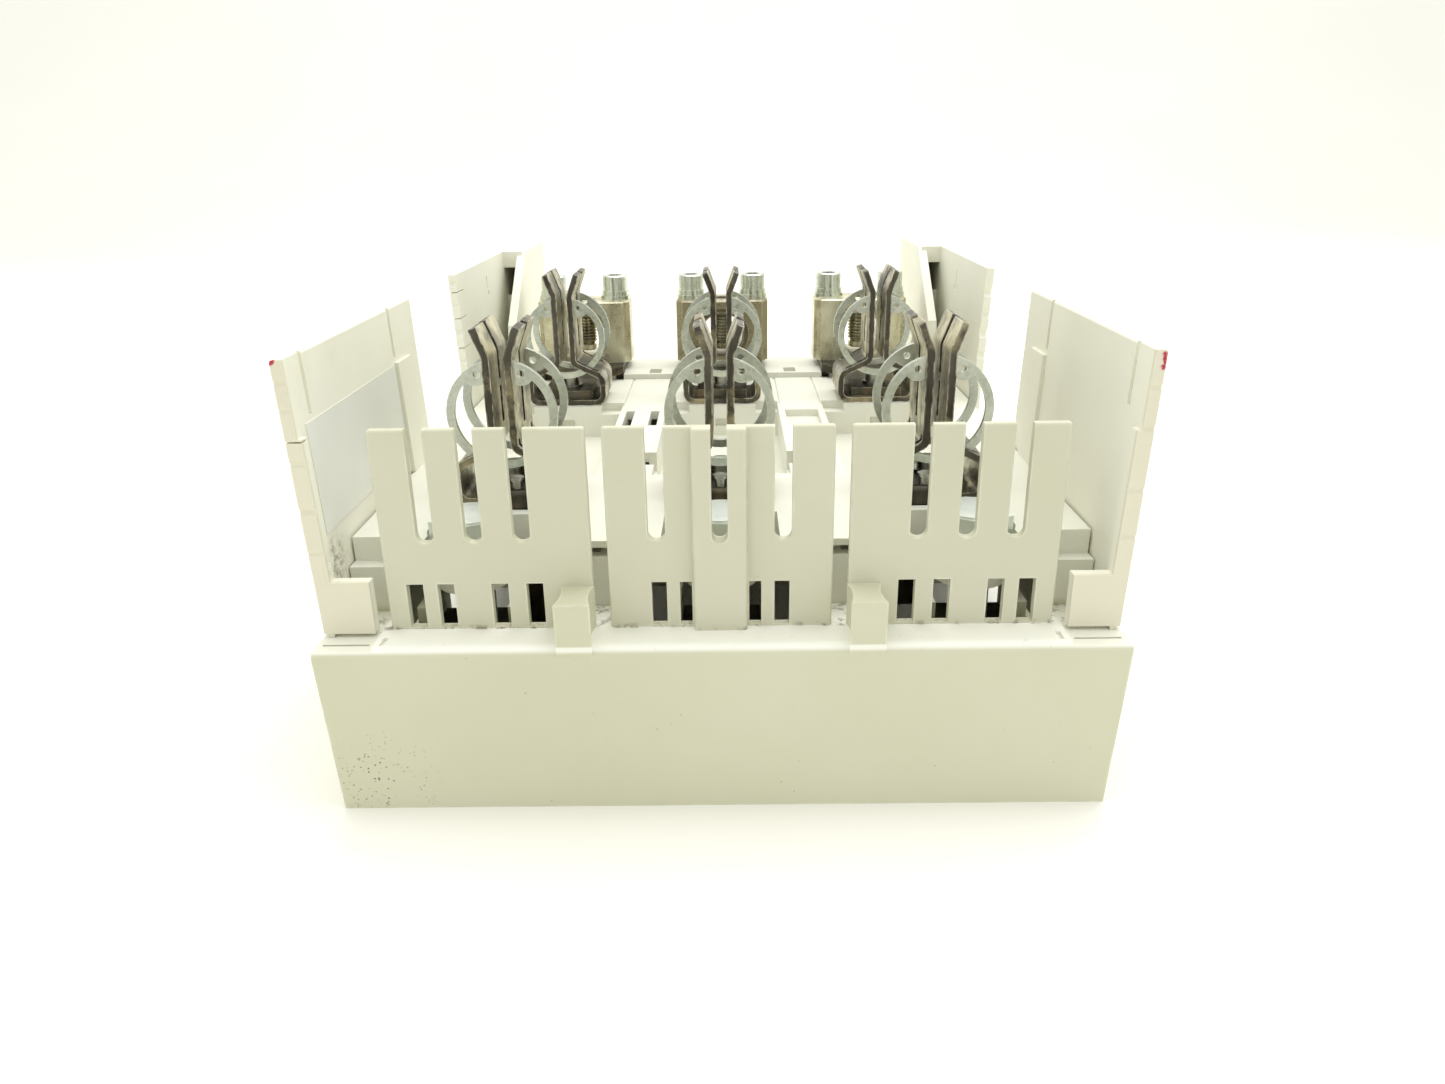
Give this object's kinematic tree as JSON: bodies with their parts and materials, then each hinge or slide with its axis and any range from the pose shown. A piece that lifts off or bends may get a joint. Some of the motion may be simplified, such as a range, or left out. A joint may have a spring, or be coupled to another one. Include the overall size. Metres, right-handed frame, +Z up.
{
  "type": "fuse base",
  "caption": "Bus-mounting base for knife-blade fuses: spring-ring clips, finger combs, side walls, clamp-screw cable lugs and busbar hooks on a moulded frame.",
  "frame": {"origin": "centre of the outline on the plane of the skirt rims it stands on", "axes": "+X to the right seen from the line end, +Y from the line end to the cable end along the fuses, +Z up, away from the busbars"},
  "size_m": [0.1894, 0.292, 0.106],
  "materials": {
    "housing_plastic": "matt moulded, slightly dusty",
    "comb_plastic": "matt moulded",
    "wall_plastic": "matt moulded, chipped edges",
    "label_film": "matt film, blank",
    "plated_clip": "tarnished plating, bright cut edges",
    "plated_strap": "tarnished plating",
    "spring_steel": "zinc passivated",
    "zinc_steel": "bright zinc",
    "lug_metal": "plated, tarnished to gold brown",
    "set_screw_steel": "zinc, worn thread"
  },
  "bodies": {
    "base": {"base_frame": "housing_plastic", "bus_bolt_washers": "zinc_steel", "cable_lug_left": "lug_metal", "cable_lug_middle": "lug_metal", "cable_lug_right": "lug_metal", "finger_comb_left": "comb_plastic", "finger_comb_middle": "comb_plastic", "finger_comb_right": "comb_plastic", "front_end_cover": "housing_plastic", "front_wall_left": "wall_plastic", "front_wall_right": "wall_plastic", "line_clip_left": "plated_clip", "line_clip_middle": "plated_clip", "line_clip_right": "plated_clip", "line_clip_rivets": "zinc_steel", "line_rings_left": "spring_steel", "line_rings_middle": "spring_steel", "line_rings_right": "spring_steel", "line_strap_left": "plated_strap", "line_strap_middle": "plated_strap", "line_strap_right": "plated_strap", "load_clip_left": "plated_clip", "load_clip_middle": "plated_clip", "load_clip_right": "plated_clip", "load_clip_rivets": "zinc_steel", "load_rings_left": "spring_steel", "load_rings_middle": "spring_steel", "load_rings_right": "spring_steel", "load_strap_left": "plated_strap", "load_strap_middle": "plated_strap", "load_strap_right": "plated_strap", "lug_flat_washers": "zinc_steel", "lug_lock_washers": "zinc_steel", "lug_screws": "zinc_steel", "rating_label": "label_film", "rear_end_cover": "housing_plastic", "rear_wall_left": "wall_plastic", "rear_wall_right": "wall_plastic"},
    "bus_bolt_left": {"bus_bolt_left": "zinc_steel"},
    "bus_hook_left": {"bus_hook_left": "zinc_steel"},
    "set_screw_left": {"set_screw_left": "set_screw_steel"},
    "pressure_pad_left": {"pressure_pad_left": "lug_metal"},
    "bus_bolt_middle": {"bus_bolt_middle": "zinc_steel"},
    "bus_hook_middle": {"bus_hook_middle": "zinc_steel"},
    "set_screw_middle": {"set_screw_middle": "set_screw_steel"},
    "pressure_pad_middle": {"pressure_pad_middle": "lug_metal"},
    "bus_bolt_right": {"bus_bolt_right": "zinc_steel"},
    "bus_hook_right": {"bus_hook_right": "zinc_steel"},
    "set_screw_right": {"set_screw_right": "set_screw_steel"},
    "pressure_pad_right": {"pressure_pad_right": "lug_metal"}
  },
  "joints": [
    {"name": "bus_hook_left_lift", "type": "slide", "parent": "base", "child": "bus_hook_left", "axis": [0, 0, 1], "range_m": [-0.0025, 0.0066]},
    {"name": "bus_bolt_left_turn", "type": "hinge", "parent": "base", "child": "bus_bolt_left", "pos_m": [-0.0625, -0.1134, 0.0568], "axis": [0, 0, -1], "range_deg": [-601, 1586]},
    {"name": "pressure_pad_left_feed", "type": "slide", "parent": "base", "child": "pressure_pad_left", "axis": [0, 0, 1], "range_m": [0, 0.0153]},
    {"name": "set_screw_left_turn", "type": "hinge", "parent": "pressure_pad_left", "child": "set_screw_left", "pos_m": [-0.056, 0.079, 0.0701], "axis": [0, 0, 1], "range_deg": [-2, 4410]},
    {"name": "bus_hook_middle_lift", "type": "slide", "parent": "base", "child": "bus_hook_middle", "axis": [0, 0, 1], "range_m": [-0.0025, 0.0066]},
    {"name": "bus_bolt_middle_turn", "type": "hinge", "parent": "base", "child": "bus_bolt_middle", "pos_m": [0, -0.1134, 0.0568], "axis": [0, 0, -1], "range_deg": [-601, 1586]},
    {"name": "pressure_pad_middle_feed", "type": "slide", "parent": "base", "child": "pressure_pad_middle", "axis": [0, 0, 1], "range_m": [0, 0.0153]},
    {"name": "set_screw_middle_turn", "type": "hinge", "parent": "pressure_pad_middle", "child": "set_screw_middle", "pos_m": [0, 0.079, 0.0701], "axis": [0, 0, 1], "range_deg": [-2, 4410]},
    {"name": "bus_hook_right_lift", "type": "slide", "parent": "base", "child": "bus_hook_right", "axis": [0, 0, 1], "range_m": [-0.0025, 0.0066]},
    {"name": "bus_bolt_right_turn", "type": "hinge", "parent": "base", "child": "bus_bolt_right", "pos_m": [0.0625, -0.1134, 0.0568], "axis": [0, 0, -1], "range_deg": [-601, 1586]},
    {"name": "pressure_pad_right_feed", "type": "slide", "parent": "base", "child": "pressure_pad_right", "axis": [0, 0, 1], "range_m": [0, 0.0153]},
    {"name": "set_screw_right_turn", "type": "hinge", "parent": "pressure_pad_right", "child": "set_screw_right", "pos_m": [0.056, 0.079, 0.0701], "axis": [0, 0, 1], "range_deg": [-2, 4410]}
  ],
  "couplings": [
    {"joint": "bus_bolt_left_turn", "follows": "bus_hook_left_lift", "rad_per_m": 4188.8},
    {"joint": "set_screw_left_turn", "follows": "pressure_pad_left_feed", "rad_per_m": 5026.5},
    {"joint": "bus_bolt_middle_turn", "follows": "bus_hook_middle_lift", "rad_per_m": 4188.8},
    {"joint": "set_screw_middle_turn", "follows": "pressure_pad_middle_feed", "rad_per_m": 5026.5},
    {"joint": "bus_bolt_right_turn", "follows": "bus_hook_right_lift", "rad_per_m": 4188.8},
    {"joint": "set_screw_right_turn", "follows": "pressure_pad_right_feed", "rad_per_m": 5026.5}
  ]
}
